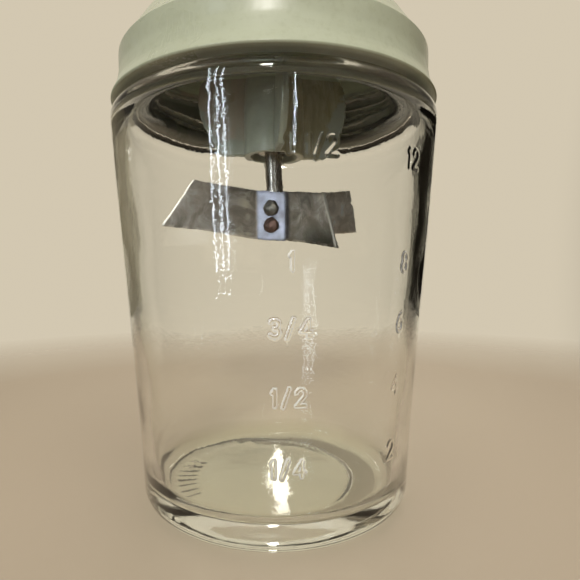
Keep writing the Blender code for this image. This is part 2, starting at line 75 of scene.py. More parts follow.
RIM = heights("glass_jar")[1]
BAND_LOW, BAND_HIGH = heights("lid_band")
DOME_LOW, DOME_HIGH = heights("lid_dome")

# Lengths are in millimetres from here to the stage, except in the materials, which are in metres.
FLOOR = 6.2
WALL = 2.85
THREAD_MIDDLE, THREAD_PITCH, THREAD_TURNS, THREAD_HALF = 111.6, 4.6, 1.3, 1.5
RIB_TURN = math.radians(8.0)

# The raised numerals: how high their middles are, half a stroke's width and its slope, and for each mark its
# text, azimuth in degrees, height, gap between numerals as a share of that height, and rise. The sectors are
# the azimuths that hold marks.
LEVELS = (20.9, 36.2, 50.5, 64.0, 86.5)
STROKE_HALF, STROKE_SIDE = 0.50, 0.23
FRONT_MARKS = (
    ("1/4", 3.9, 3.5, 0.36, 0.34), ("1/2", 4.1, 3.5, 0.36, 0.34), ("3/4", 4.6, 3.5, 0.4, 0.28),
    ("1", 4.9, 3.5, 0.3, 0.28), ("1 1/2", 10.0, 3.5, 0.28, 0.11),
)
SIDE_MARKS = (
    ("2", 45.5, 4.0, 0.3, 0.12), ("4", 45.5, 4.0, 0.3, 0.12), ("6", 45.5, 4.0, 0.3, 0.16),
    ("8", 45.5, 4.0, 0.3, 0.16), ("12", 46.0, 3.9, 0.3, 0.16),
)
MARK_SECTORS = ((-6.5, 18.0), (40.5, 51.5))

# The hollow under the jar's base: its middle, which is a little off the axis, and its radius.
SCAR_AT = (6.2, 0.6)
SCAR_RADIUS = 28.4

# The blades: each is a strip, flat across the shaft and bent back on both sides. The shaft's flats are turned
# by YAW. A wing has its bend, its length along the bottom and the top edge, and its tip's rise.
YAW = math.radians(18.0)
FLAT_HALF, FLAT_TOP = 2.05, 84.6
BLADE_GAP, BLADE_THICKNESS, BLADE_HEIGHT, BLADE_BOTTOM = 0.3, 0.8, 13.1, 70.9
FRONT_SLANT, REAR_LIFT = -0.09, 0.8
HUB_HALF, BEND_RADIUS = 4.1, 2.2
HUB_FLAT = HUB_HALF - 0.3 * BEND_RADIUS
FRONT_BEND, REAR_BEND = math.radians(39), math.radians(50)
FRONT_WINGS = ((FRONT_BEND, 25.2, 17.2, 3.0), (FRONT_BEND, 20.4, 15.6, -3.1))
REAR_WINGS = ((REAR_BEND, 24.1, 20.5, 2.5), (REAR_BEND, 25.2, 22.7, 3.0))


def strip_ends(wings):
    """How far a blade's strip reaches to the left and to the right of its hub's middle, in metres."""
    ends = [HUB_FLAT + BEND_RADIUS * bend + length for bend, length, top, rise in wings]
    return -ends[0] * MM, ends[1] * MM


# ---------------------------------------------------------------- meshes
def rounded(outline, closed=False, turn=15.0):
    """Outline points (x, y, fillet) in millimetres, with each fillet drawn as an arc."""
    points = []
    count = len(outline)
    for i, (x, y, fillet) in enumerate(outline):
        if not fillet or (not closed and i in (0, count - 1)):
            points.append((x, y))
            continue
        p = Vector((x, y))
        a = Vector(outline[i - 1][:2]) - p
        b = Vector(outline[(i + 1) % count][:2]) - p
        reach = 0.49 * min(a.length, b.length)
        a.normalize()
        b.normalize()
        half = a.angle(b) / 2
        cut = min(fillet / math.tan(half), reach)
        size = cut * math.tan(half)
        centre = p + (a + b).normalized() * (size / math.sin(half))
        v0 = p + a * cut - centre
        v1 = p + b * cut - centre
        sweep = math.atan2(v0.x * v1.y - v0.y * v1.x, v0.dot(v1))
        steps = max(2, math.ceil(abs(math.degrees(sweep)) / turn))
        for k in range(steps + 1):
            t = sweep * k / steps
            c, s = math.cos(t), math.sin(t)
            points.append((centre.x + v0.x * c - v0.y * s, centre.y + v0.x * s + v0.y * c))
    return points


def spread(points, step, closed=False):
    """The same outline with no stretch longer than step."""
    made = []
    count = len(points)
    for i in range(count if closed else count - 1):
        a, b = points[i], points[(i + 1) % count]
        parts = max(1, math.ceil(math.dist(a, b) / step))
        for k in range(parts):
            t = k / parts
            made.append((a[0] + (b[0] - a[0]) * t, a[1] + (b[1] - a[1]) * t))
    if not closed:
        made.append(points[-1])
    return made


def arc(cx, cy, rx, ry, start, end, steps=10):
    """Points on an arc of an ellipse about (cx, cy), from one angle to another in degrees."""
    points = []
    for k in range(steps + 1):
        a = math.radians(start + (end - start) * k / steps)
        points.append((cx + rx * math.cos(a), cy + ry * math.sin(a)))
    return points


def mesh_object(name, points, faces, smooth=True):
    """A new object from points in millimetres, facing outwards."""
    mesh = bpy.data.meshes.new(name)
    mesh.from_pydata((np.asarray(points) * MM).tolist(), [], faces)
    mesh.validate()
    shape = bmesh.new()
    shape.from_mesh(mesh)
    bmesh.ops.recalc_face_normals(shape, faces=shape.faces)
    if shape.calc_volume(signed=True) < 0:
        bmesh.ops.reverse_faces(shape, faces=shape.faces)
    shape.to_mesh(mesh)
    shape.free()
    if smooth:
        mesh.shade_smooth()
    piece = bpy.data.objects.new(name, mesh)
    bpy.context.scene.collection.objects.link(piece)
    return piece


def turned(name, profile, angles, closed, shift=None, sharp=None):
    """A turned shape from (radius, height) rows in millimetres; shift adds a radial and an axial offset."""
    profile = np.array(profile)
    angles = np.asarray(angles)
    radius = np.repeat(profile[:, :1], len(angles), 1)
    height = np.repeat(profile[:, 1:], len(angles), 1)
    if shift is not None:
        add_r, add_z = shift(radius, height, angles[None, :])
        radius = radius + add_r
        height = height + add_z
    grid = np.stack((radius * np.sin(angles), -radius * np.cos(angles), height), -1)
    rows, cols = radius.shape
    index = np.arange(rows * cols).reshape(rows, cols)
    if not closed:
        index[0, :] = index[0, 0]
        index[-1, :] = index[-1, 0]
    faces = []
    for i in range(rows if closed else rows - 1):
        lower, upper = index[i], index[(i + 1) % rows]
        around = np.stack((lower, np.roll(lower, -1), np.roll(upper, -1), upper), -1)
        if not closed and i == 0:
            around = around[:, [0, 2, 3]]
        elif not closed and i == rows - 2:
            around = around[:, [0, 1, 2]]
        faces += around.tolist()
    used = np.unique(np.concatenate([np.ravel(f) for f in faces]))
    remap = np.full(rows * cols, -1)
    remap[used] = np.arange(len(used))
    faces = [[int(remap[v]) for v in f] for f in faces]
    piece = mesh_object(name, grid.reshape(-1, 3)[used], faces)
    if sharp:
        piece.data.set_sharp_from_angle(angle=math.radians(sharp))
    return piece


def ring_angles(count):
    return np.arange(count) * math.tau / count


def evaluated_mesh(piece):
    """The piece's mesh with its modifiers applied."""
    bpy.context.view_layer.update()
    graph = bpy.context.evaluated_depsgraph_get()
    return bpy.data.meshes.new_from_object(piece.evaluated_get(graph))


def settle(piece, other, operation="UNION"):
    """Applies a Boolean with another object, which is then removed."""
    modifier = piece.modifiers.new("join", "BOOLEAN")
    modifier.operation = operation
    modifier.solver = "EXACT"
    modifier.object = other
    mesh = evaluated_mesh(piece)
    piece.modifiers.clear()
    piece.data = mesh
    bpy.data.objects.remove(other, do_unlink=True)


def finish(piece, body, material, node):
    """Gives a piece its material, its body and the node that it stands for."""
    piece.data.materials.clear()
    piece.data.materials.append(material)
    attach(piece, body)
    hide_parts(node)


def tube(name, path, radius, sides=12):
    """A round wire along a path in millimetres, with a low point at each end."""
    path = np.array(path)
    tangent = np.gradient(path, axis=0)
    tangent /= np.linalg.norm(tangent, axis=1)[:, None]
    side = np.cross(tangent, [0, 0, 1.0])
    side /= np.linalg.norm(side, axis=1)[:, None]
    up = np.cross(side, tangent)
    a = ring_angles(sides)
    points, faces = [], []
    for p, s, u in zip(path, side, up):
        points.append(p + radius * (np.cos(a)[:, None] * s + np.sin(a)[:, None] * u))
    ends = []
    for i, sign in ((0, -1), (-1, 1)):
        ends.append(path[i] + sign * tangent[i] * radius * 0.6)
    rows = len(points)
    points = np.concatenate(points + [np.array(ends)])
    for i in range(rows - 1):
        for j in range(sides):
            k = (j + 1) % sides
            faces.append([i * sides + j, i * sides + k, (i + 1) * sides + k, (i + 1) * sides + j])
    for j in range(sides):
        k = (j + 1) % sides
        faces.append([rows * sides, k, j])
        last = (rows - 1) * sides
        faces.append([rows * sides + 1, last + j, last + k])
    return mesh_object(name, points, faces)


# ---------------------------------------------------------------- materials
class Shader:
    """A material's node tree, with short calls for the nodes it needs."""

    def __init__(self, name, colour, roughness, metallic=0.0):
        self.material = bpy.data.materials.new(name)
        self.material.use_nodes = True
        self.tree = self.material.node_tree
        self.main = self.tree.nodes["Principled BSDF"]
        self.set("Base Color", (*colour, 1))
        self.set("Roughness", roughness)
        self.set("Metallic", metallic)
        self.place = self.node("ShaderNodeTexCoord").outputs["Object"]

    def set(self, socket, value):
        self.main.inputs[socket].default_value = value

    def node(self, kind, **values):
        made = self.tree.nodes.new(kind)
        for key, value in values.items():
            setattr(made, key, value)
        return made

    def link(self, source, target):
        self.tree.links.new(source, target)

    def stretched(self, scale, source=None, turn=(0, 0, 0)):
        mapping = self.node("ShaderNodeMapping")
        mapping.inputs["Scale"].default_value = scale
        mapping.inputs["Rotation"].default_value = turn
        self.link(source or self.place, mapping.inputs["Vector"])
        return mapping.outputs["Vector"]

    def noise(self, scale, detail=3.0, rough=0.5, source=None, distortion=0.0):
        made = self.node("ShaderNodeTexNoise")
        made.inputs["Scale"].default_value = scale
        made.inputs["Detail"].default_value = detail
        made.inputs["Roughness"].default_value = rough
        made.inputs["Distortion"].default_value = distortion
        self.link(source or self.place, made.inputs["Vector"])
        return made.outputs["Fac"]

    def ramp(self, source, *stops):
        made = self.node("ShaderNodeValToRGB")
        elements = made.color_ramp.elements
        while len(elements) < len(stops):
            elements.new(0.5)
        for element, (position, colour) in zip(elements, stops):
            element.position = position
            element.color = (*colour, 1)
        self.link(source, made.inputs["Fac"])
        return made.outputs["Color"]

    def range(self, source, low, high, to_low=0.0, to_high=1.0):
        made = self.node("ShaderNodeMapRange")
        for name, value in (("From Min", low), ("From Max", high), ("To Min", to_low), ("To Max", to_high)):
            made.inputs[name].default_value = value
        self.link(source, made.inputs["Value"])
        return made.outputs["Result"]

    def math(self, operation, a, b):
        made = self.node("ShaderNodeMath", operation=operation)
        for socket, value in zip(made.inputs, (a, b)):
            if isinstance(value, (int, float)):
                socket.default_value = value
            else:
                self.link(value, socket)
        return made.outputs["Value"]

    def times(self, a, b):
        return self.math("MULTIPLY", a, b)

    def mix(self, share, a, b):
        made = self.node("ShaderNodeMix", data_type="RGBA")
        inputs = [made.inputs[0], made.inputs[6], made.inputs[7]]
        for socket, value in zip(inputs, (share, a, b)):
            if isinstance(value, tuple):
                socket.default_value = (*value, 1)
            elif isinstance(value, (int, float)):
                socket.default_value = value
            else:
                self.link(value, socket)
        return made.outputs[2]

    def bump(self, height, distance, before=None):
        made = self.node("ShaderNodeBump")
        made.inputs["Distance"].default_value = distance
        self.link(height, made.inputs["Height"])
        if before is not None:
            self.link(before, made.inputs["Normal"])
        return made.outputs["Normal"]

    def axis(self, name, source=None):
        made = self.node("ShaderNodeSeparateXYZ")
        self.link(source or self.place, made.inputs["Vector"])
        return made.outputs[name]

    def radius(self):
        """The distance from the Z axis."""
        squares = [self.math("POWER", self.axis(name), 2) for name in "XY"]
        return self.math("SQRT", self.math("ADD", *squares), 0)

    def to(self, socket, source):
        self.link(source, self.main.inputs[socket])


# The depth in metres of the fine crackle on the glass
CRACKLE = 0.0001


def glass_material(name, wave, ripple, shine, frost=0.0):
    """Clear pressed glass, green at the heel. Wave and ripple are the depths of its unevenness, in metres.

    Shine is the weight of its reflections, and frost is how dull it is. The coat carries the sharp
    reflections, broken up by the pressed surface's fine crackle.
    """
    s = Shader(name, (0.985, 0.992, 0.978), 0.0)
    s.set("IOR", 1.5)
    s.set("Transmission Weight", 1.0 - frost)
    s.set("Specular Tint", (0.4 * shine, 0.4 * shine, 0.4 * shine, 1))
    s.set("Coat Weight", shine)
    s.set("Coat Roughness", 0.0)
    s.set("Coat IOR", 1.5)
    # Painted shade: the glass's colour darkens towards its grazing edges.
    edge = s.node("ShaderNodeLayerWeight").outputs["Facing"]
    edge_shade_tints = ((0.6, (0.99, 0.995, 0.985)), (0.82, (0.82, 0.84, 0.76)), (0.97, (0.52, 0.53, 0.43)))
    heel = s.range(s.axis("Z"), 0.011, 0.005, 0.0, 0.85)
    s.to("Base Color", s.mix(heel, s.ramp(edge, *edge_shade_tints), (0.90, 0.945, 0.875)))
    smudge = s.noise(48, 5, 0.6, distortion=0.6)
    s.to("Roughness", s.range(smudge, 0.56, 0.85, 0.5 * frost, 0.5 * frost + 0.04))
    waves = s.noise(1.0, 2, 0.4, s.stretched((80, 80, 26)))
    ripples = s.noise(1.0, 3, 0.6, s.stretched((330, 330, 420)), 0.6)
    crackle = s.noise(1.0, 2, 0.5, s.stretched((230, 230, 640)))
    normal = s.bump(waves, wave)
    s.to("Coat Normal", s.bump(crackle, CRACKLE, before=normal))
    normal = s.bump(ripples, ripple, before=normal)
    s.to("Normal", normal)
    clear = s.node("ShaderNodeBsdfTransparent")
    clear.inputs["Color"].default_value = (0.93, 0.94, 0.92, 1)
    path = s.node("ShaderNodeLightPath")
    choose = s.node("ShaderNodeMixShader")
    out = s.tree.nodes["Material Output"]
    s.link(path.outputs["Is Shadow Ray"], choose.inputs["Fac"])
    s.link(s.main.outputs["BSDF"], choose.inputs[1])
    s.link(clear.outputs["BSDF"], choose.inputs[2])
    s.link(choose.outputs["Shader"], out.inputs["Surface"])
    return s.material


def green_plastic(name):
    """Moulded sage plastic: its shader, and its colour so far for a caller that paints more on it."""
    s = Shader(name, (0.44, 0.46, 0.32), 0.3)
    s.set("IOR", 1.5)
    s.set("Subsurface Weight", 0.05)
    s.set("Subsurface Radius", (0.0025, 0.0025, 0.0012))
    cloud = s.noise(38, 4, 0.55)
    fine = s.noise(700, 3, 0.6)
    colour = s.mix(s.range(cloud, 0.3, 0.7), (0.43, 0.455, 0.33), (0.51, 0.535, 0.40))
    colour = s.mix(s.range(fine, 0.5, 0.8, 0, 0.35), colour, (0.33, 0.345, 0.215))
    scuffs = s.noise(1.0, 6, 0.7, s.stretched((900, 900, 60)), 0.3)
    rough = s.math("ADD", s.range(cloud, 0.3, 0.7, 0.25, 0.34), s.range(scuffs, 0.55, 0.8, 0.0, 0.16))
    s.to("Roughness", rough)
    normal = s.bump(s.noise(260, 2, 0.5), 0.00005)
    s.to("Normal", s.bump(scuffs, 0.00002, before=normal))
    return s, colour


def outside_plastic():
    s, colour = green_plastic("sage_plastic_finish")
    specks = s.range(s.noise(900, 2, 0.5), 0.72, 0.79)
    s.to("Base Color", s.mix(s.times(specks, 0.5), colour, (0.12, 0.12, 0.07)))
    return s.material


def band_plastic():
    """The same plastic, with painted shade darkening the band's underside and its threaded inside."""
    s, colour = green_plastic("sage_band_finish")
    # Painted shade: the threaded inside and the underside are darkened, less so towards the underside's outer
    # edge.
    above = s.math("MAXIMUM", s.math("SUBTRACT", s.axis("Z"), 0.118), 0.0)
    reach = s.math("ADD", s.radius(), s.times(above, 0.595))
    inside = s.range(reach, 0.0397, 0.0391)
    under = s.range(s.axis("Z"), BAND_LOW * MM + 0.00035, BAND_LOW * MM + 0.0001)
    under = s.times(under, s.range(s.radius(), 0.0412, 0.0424, 1.0, 0.55))
    painted_shade = s.math("MAXIMUM", inside, under)
    patch = s.range(s.noise(170, 4, 0.6), 0.3, 0.7, 0.86, 1.0)
    s.to("Base Color", s.mix(s.times(painted_shade, patch), colour, (0.165, 0.17, 0.125)))
    return s.material


def dome_plastic():
    """The same plastic, with painted shade making it darker and greyer inside the lid and darker in the
    crease at the dome's foot, and with brown patches on its left and right ribs.
    """
    s, colour = green_plastic("sage_dome_finish")
    height = s.axis("Z")
    # Painted shade: the plastic inside the lid, below the flange, is darker and greyer.
    below = s.range(height, 0.1226, 0.1216)
    inside_shade = s.mix(s.range(s.noise(210, 4, 0.6), 0.3, 0.7), (0.28, 0.29, 0.225), (0.355, 0.365, 0.285))
    colour = s.mix(below, colour, inside_shade)
    # Painted shade: a dark ring in the crease at the dome's foot.
    groove = s.times(s.range(height, 0.1256, 0.1245), s.range(s.radius(), 0.0330, 0.0338))
    colour = s.mix(s.times(groove, 0.7), colour, (0.16, 0.165, 0.09))
    turned_place = s.stretched((1, 1, 1), turn=(0, 0, -RIB_TURN))
    across = s.axis("X", turned_place)
    toward = s.axis("Y", turned_place)
    ragged = s.range(s.noise(300, 4, 0.65), 0.3, 0.7, -0.0012, 0.0012)
    edge = s.math("ADD", s.times(s.math("SUBTRACT", height, DOME_LOW * MM), 0.536), 0.0109)
    room = s.math("ADD", s.math("SUBTRACT", edge, s.math("ABSOLUTE", across, 0)), ragged)
    front = s.range(toward, 0.0035, 0.0005)
    right = s.times(s.range(across, 0.0006, 0.0012), s.range(room, -0.0004, 0.0006))
    left = s.times(s.range(across, -0.0078, -0.0088), s.range(room, -0.0034, -0.0022))
    left = s.times(left, s.range(s.math("ADD", height, ragged), 0.0975, 0.099))
    # Brown patches on the left rib and just to the right of the front rib.
    streaks = s.noise(1.0, 5, 0.65, s.stretched((420, 420, 90)), 0.6)
    brown = s.mix(s.range(streaks, 0.35, 0.68), (0.23, 0.21, 0.11), (0.42, 0.38, 0.25))
    right = s.times(s.times(right, front), s.range(streaks, 0.28, 0.5, 0.8, 0.97))
    left = s.times(left, s.range(streaks, 0.34, 0.6, 0.35, 0.9))
    colour = s.mix(s.times(right, below), colour, brown)
    colour = s.mix(s.times(left, below), colour, (0.36, 0.29, 0.22))
    s.to("Base Color", colour)
    return s.material


def steel(name, colour, low, high, scratch=(60, 60, 900), bump=0.00002):
    s = Shader(name, colour, (low + high) / 2, 1.0)
    tone = s.noise(180, 4, 0.6, distortion=0.6)
    dark = tuple(c * 0.62 for c in colour)
    s.to("Base Color", s.mix(s.range(tone, 0.42, 0.72), colour, dark))
    lines = s.noise(1.0, 5, 0.7, s.stretched(scratch))
    s.to("Roughness", s.range(lines, 0.3, 0.75, low, high))
    s.to("Normal", s.bump(lines, bump))
    return s.material


def blade_material(name, worn, tone, ends):
    """Old strip steel whose cut ends and lower edge carry a painted highlight. Worn is 1 for a blade with a
    rubbed hub and stained wings.
    """
    s = Shader(name, (0.3, 0.28, 0.25), 0.4, 1.0)
    uv = s.node("ShaderNodeUVMap", uv_map="strip").outputs["UV"]
    grain = s.noise(1.0, 6, 0.75, s.stretched((70, 1500, 1), uv))
    across = s.noise(1.0, 5, 0.7, s.stretched((1100, 80, 1), uv, (0, 0, 0.45)), 0.4)
    blotch = s.noise(170, 6, 0.62, distortion=1.0)
    big = s.noise(75, 3, 0.5, distortion=0.8)
    shades = ((0.30, (0.105, 0.095, 0.08)), (0.5, (0.25, 0.23, 0.205)), (0.70, (0.46, 0.44, 0.41)))
    colour = s.ramp(blotch, *((place, tuple(tone * c for c in shade)) for place, shade in shades))
    colour = s.mix(s.range(big, 0.42, 0.66, 0, 0.6), colour, tuple(tone * c for c in (0.16, 0.135, 0.105)))
    colour = s.mix(s.range(across, 0.60, 0.74, 0, 0.55 * worn), colour, (0.62, 0.60, 0.57))
    along = s.axis("X", uv)
    height = s.axis("Y", uv)
    away = s.math("ABSOLUTE", along, 0)
    hub = s.times(s.range(away, 0.0046, 0.0040), worn)
    # Painted shade: a dark band on the worn blade's right bend.
    bend = s.times(s.range(away, 0.0039, 0.0047), s.range(away, 0.0068, 0.0050))
    bend = s.times(bend, s.range(along, 0.0, 0.0005))
    colour = s.mix(s.times(bend, 0.85 * worn), colour, (0.05, 0.052, 0.07))
    corner = s.times(s.range(along, 0.006, 0.017), s.range(height, 0.0068, 0.0014))
    corner = s.times(corner, s.range(blotch, 0.27, 0.5))
    colour = s.mix(s.times(corner, 0.85 * worn), colour, (0.035, 0.045, 0.035))
    # Painted highlight: a pale yellowish patch on the worn blade's left bend.
    painted_highlight = s.times(s.range(along, -0.0052, -0.0068), s.range(along, -0.0115, -0.0085))
    painted_highlight = s.times(painted_highlight, s.range(blotch, 0.42, 0.6))
    colour = s.mix(s.times(painted_highlight, 0.8 * worn), colour, (0.72, 0.68, 0.55))
    # Painted highlight along the cut ends and the lower edge.
    left_cut = s.range(along, ends[0] + 0.0007, ends[0] + 0.0003)
    right_cut = s.range(along, ends[1] - 0.0007, ends[1] - 0.0003)
    lower_cut = s.times(s.range(height, 0.0007, 0.0003), s.range(blotch, 0.45, 0.6))
    cut = s.math("MAXIMUM", s.math("MAXIMUM", left_cut, right_cut), lower_cut)
    colour = s.mix(s.times(cut, 0.8), colour, (0.80, 0.78, 0.72))
    # The worn hub's plate: rubbed metal, with a bluish tint that is a painted reflection of the cool window
    # lamps.
    plate = s.mix(s.range(s.noise(230, 3, 0.5), 0.35, 0.65), (0.14, 0.14, 0.16), (0.24, 0.24, 0.29))
    colour = s.mix(s.times(hub, 0.95), colour, plate)
    s.to("Base Color", colour)
    rough = s.math("ADD", s.range(blotch, 0.3, 0.7, 0.5, 0.32), s.range(grain, 0.4, 0.7, -0.05, 0.12))
    s.to("Roughness", rough)
    normal = s.bump(s.noise(230, 3, 0.5), 0.00022)
    normal = s.bump(grain, 0.00003, before=normal)
    s.to("Normal", s.bump(across, 0.00002, before=normal))
    return s.material


def soft_material(name, colour, roughness):
    s = Shader(name, colour, roughness)
    tone = s.noise(300, 4, 0.6)
    dark = tuple(c * 0.75 for c in colour)
    s.to("Base Color", s.mix(s.range(tone, 0.35, 0.7), colour, dark))
    s.to("Roughness", s.range(tone, 0.3, 0.7, roughness - 0.08, roughness + 0.08))
    s.to("Normal", s.bump(s.noise(1500, 3, 0.6), 0.00003))
    return s.material


GLASS = glass_material("jar_glass_finish", 0.00005, 0.00001, 0.8)
GLASS_INSIDE = glass_material("jar_inside_finish", 0.00009, 0.000015, 0.25)
GLASS_MARK = glass_material("jar_mark_finish", 0.00005, 0.00001, 0.8, 0.45)
GREEN = outside_plastic()
GREEN_BAND = band_plastic()
GREEN_DOME = dome_plastic()
RUBBER = soft_material("seal_finish", (0.42, 0.40, 0.33), 0.65)
NYLON = soft_material("nylon_finish", (0.52, 0.50, 0.42), 0.45)
STEEL = steel("shaft_finish", (0.46, 0.42, 0.37), 0.2, 0.34, (900, 900, 30), 0.00001)
WIRE = steel("wire_finish", (0.58, 0.57, 0.55), 0.2, 0.35, (700, 700, 700))
RIVET_LOW = steel("lower_rivet_finish", (0.085, 0.05, 0.04), 0.32, 0.5, (500, 500, 500), 0.00006)
RIVET_HIGH = steel("upper_rivet_finish", (0.115, 0.105, 0.09), 0.3, 0.5, (500, 500, 500), 0.00006)
# Tone scales a blade's colours. The rear blade's tone, about twice the front's, is painted light: the same
# steel drawn brighter where it sits in shade.
BLADE_FRONT = blade_material("front_blade_finish", 1.0, 1.45, strip_ends(FRONT_WINGS))
BLADE_REAR = blade_material("rear_blade_finish", 0.0, 3.0, strip_ends(REAR_WINGS))


# ---------------------------------------------------------------- jar
WALL_FIT = np.polyfit([6.6, 14.8, 36.4, 57.4, 77.7, 100.6], [36.24, 36.62, 38.3, 40.0, 41.72, 43.37], 3)


def wall_radius(z):
    """The outer radius of the jar's wall, a smooth curve through a few of its points."""
    return np.polyval(WALL_FIT, z)


def digit_strokes():
    """Plain numerals as a width and strokes, in a box one unit tall."""
    return {
        "1": (0.26, [[(0.02, 0.80), (0.16, 1.0), (0.16, 0.0)]]),
        "2": (0.56, [arc(0.28, 0.72, 0.26, 0.28, 165, -35) + [(0.02, 0.0), (0.56, 0.0)]]),
        "3": (0.56, [arc(0.26, 0.74, 0.26, 0.26, 150, -90) + arc(0.26, 0.26, 0.28, 0.26, 90, -150)]),
        "4": (0.60, [[(0.44, 0.0), (0.44, 1.0), (0.02, 0.30), (0.60, 0.30)]]),
        "6": (0.56, [
            arc(0.28, 0.30, 0.26, 0.30, 0, 360, 16), [(0.03, 0.36), (0.10, 0.66), (0.24, 0.9), (0.42, 1.0)],
        ]),
        "8": (0.56, [arc(0.28, 0.76, 0.22, 0.24, 0, 360, 16), arc(0.28, 0.27, 0.27, 0.27, 0, 360, 16)]),
        "/": (0.42, [[(0.02, -0.06), (0.40, 1.06)]]),
        " ": (0.30, []),
    }


def mark_segments():
    """Every raised stroke as (u0, v0, u1, v1, rise): u is azimuth in radians, v is height."""
    strokes = digit_strokes()
    segments = []
    for (text, azimuth, tall, gap, rise), level in zip(FRONT_MARKS + SIDE_MARKS, LEVELS * 2):
        x = -(sum(strokes[c][0] for c in text) + gap * (len(text) - 1)) / 2
        middle = math.radians(azimuth)
        across = tall / wall_radius(level)
        for c in text:
            wide, lines = strokes[c]
            for line in lines:
                ends = [(middle + (x + px) * across, level + (py - 0.5) * tall) for px, py in line]
                segments += [(*a, *b, rise) for a, b in zip(ends, ends[1:])]
            x += wide + gap
    return segments


def raised_marks(azimuth, height):
    """How far the raised numerals stand out of the wall at each point, with flat tops and steep sides."""
    total = np.zeros(azimuth.shape)
    radius = wall_radius(height)
    for u0, v0, u1, v1, rise in mark_segments():
        near = (np.abs(height - (v0 + v1) / 2) < 3.5) & (np.abs(azimuth - (u0 + u1) / 2) < 0.14)
        if not near.any():
            continue
        px = (azimuth[near] - u0) * radius[near]
        py = height[near] - v0
        dx, dy = (u1 - u0) * radius[near], v1 - v0
        t = np.clip((px * dx + py * dy) / (dx * dx + dy * dy + 1e-9), 0, 1)
        share = np.clip((STROKE_HALF - np.hypot(px - t * dx, py - t * dy)) / STROKE_SIDE, 0, 1)
        total[near] = np.maximum(total[near], rise * share * share * (3 - 2 * share))
    return total


def thread_height(azimuth, height, middle, rise):
    """How far a screw thread stands out of its wall at each point."""
    total = np.zeros(np.broadcast(azimuth, height).shape)
    around = np.mod(azimuth - math.pi / 2, math.tau)
    for lap in range(-1, 3):
        part = (around + lap * math.tau) / (THREAD_TURNS * math.tau)
        centre = middle + (part - 0.5) * THREAD_TURNS * THREAD_PITCH
        fade = np.clip(np.minimum(part, 1 - part) * 9, 0, 1)
        gap = np.abs(height - centre) / THREAD_HALF
        total = np.maximum(total, rise * fade * np.sqrt(np.clip(1 - gap * gap, 0, 1)))
    return total


def jar_angles():
    """Azimuths round the jar in radians, close together where the raised marks are."""
    angles = []
    at = -180.0
    while at < 179.9:
        angles.append(math.radians(at))
        at += 0.3 if any(a <= at < b for a, b in MARK_SECTORS) else 2.0
    return np.array(angles)


def jar_profile():
    """The jar's outline as (radius, height) points, from the middle of its floor to that of its base."""
    inside = [(0.0, FLOOR), (12, 6.35), (20, 6.6), (25, 6.7)]
    inside += arc(28.4, 11.6, 5.0, 5.0, -90, 0, 8)
    inside += [(wall_radius(z) - WALL, z) for z in np.linspace(15, 96, 34)]
    inside += arc(35.0, 98.6, 5.2, 5.2, 5, 80, 6)
    inside += [(33.8, 105.2), (33.45, 106.6), (33.4, 109.0), (33.4, 113.0), (33.4, RIM - 1.6)]
    rim = [(33.5, RIM - 0.8), (33.9, RIM - 0.2), (34.6, RIM)]
    rim += [(35.1, RIM - 0.15), (35.7, RIM - 0.7), (36.0, RIM - 1.5)]
    neck = [(36.0, z) for z in np.arange(RIM - 1.9, 106.4, -0.36)]
    shoulder = [(36.1, 106.0), (36.5, 105.4), (37.2, 105.05), (38.2, 104.8)]
    shoulder += arc(39.35, 100.7, 4.02, 4.02, 88, 4, 10)[1:]
    wall = []
    z = 99.6
    while z > 8.0:
        wall.append((float(wall_radius(z)), z))
        z -= 0.24 if any(-2.6 < z - level < 4.15 for level in LEVELS) else 1.5
    base = arc(29.75, 6.5, 6.5, 6.5, -2, -90, 10)
    base += [(float(r), 0.0) for r in np.arange(29.4, 17.0, -0.45)] + [(14, 0.0), (7, 0.0), (0.0, 0.0)]
    return inside, rim, neck, shoulder, wall, base


def wall_waves(azimuth, height):
    """The slow unevenness of the pressed inside."""
    wave = 0.08 * np.sin(3 * azimuth + height / 11) + 0.04 * np.sin(7 * azimuth - height / 5 + 1.3)
    return wave + 0.02 * np.sin(13 * azimuth + height / 3.1 + 0.4)


def base_relief(radius, azimuth, height):
    """How far the hollow and the short bars under the base lift it."""
    scar = np.hypot(radius * np.sin(azimuth) + SCAR_AT[0], -radius * np.cos(azimuth) - SCAR_AT[1])
    inside = np.clip((SCAR_RADIUS - scar) / 1.3, 0, 1)
    hollow = 1.3 * inside * inside * (3 - 2 * inside) + 0.5 * np.clip(1 - scar / SCAR_RADIUS, 0, 1)
    bars = np.clip(np.cos(50 * azimuth) * 1.8 - 0.3, 0, 1)
    bars *= np.clip(2.2 - np.abs(radius - 25.8) / 1.5, 0, 1)
    bars *= np.abs(azimuth + math.radians(83)) < math.radians(30)
    return np.maximum(height, hollow - 0.3 * bars) - height


def paint_jar(jar):
    """Gives the jar's inside, and the steep sides of its marks, their own glass."""
    jar.data.materials.append(GLASS_INSIDE)
    jar.data.materials.append(GLASS_MARK)
    for face in jar.data.polygons:
        x, y, z = face.center / MM
        out = math.hypot(x, y)
        outer = wall_radius(z)
        if 17 < z < 70 and (abs(x) < 12 or z > 45) and out > outer + 0.012:
            if (face.normal.x * x + face.normal.y * y) / out < 0.94:
                face.material_index = 2
                continue
        floor = FLOOR - 0.5 < z < 15 and face.normal.z > -0.5 and out < 33.5
        if z < 104 and (floor or z >= 15 and out < min(outer, 42.5) - WALL / 2):
            face.material_index = 1


